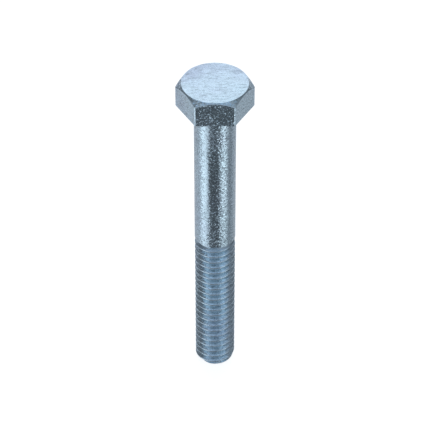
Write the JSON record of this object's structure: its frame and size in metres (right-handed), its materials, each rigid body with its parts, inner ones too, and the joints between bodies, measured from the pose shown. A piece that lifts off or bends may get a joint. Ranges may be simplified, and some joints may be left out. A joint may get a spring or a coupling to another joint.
{
  "type": "hex bolt",
  "caption": "Partly threaded hex bolt with a chamfered hexagonal head, a plain shank and a right-hand inch thread, bright zinc plated.",
  "frame": {"origin": "centre of the head's bearing face, on the bolt's axis", "axes": "+Z along the bolt's axis, from the tip towards the head; +Y square to one pair of the hexagon's flats; +X through two of its corners"},
  "size_m": [0.0146, 0.0128, 0.0687],
  "materials": {
    "zinc_plated_head": "forged steel with bright zinc plating, clear blue-white passivate",
    "zinc_plated_shank": "drawn steel with bright zinc plating, fine pits, clear blue-white passivate",
    "zinc_plated_thread": "rolled steel thread with bright zinc plating, clear blue-white passivate"
  },
  "bodies": {
    "root": {"head": "zinc_plated_head", "shank": "zinc_plated_shank", "thread": "zinc_plated_thread"}
  },
  "joints": []
}
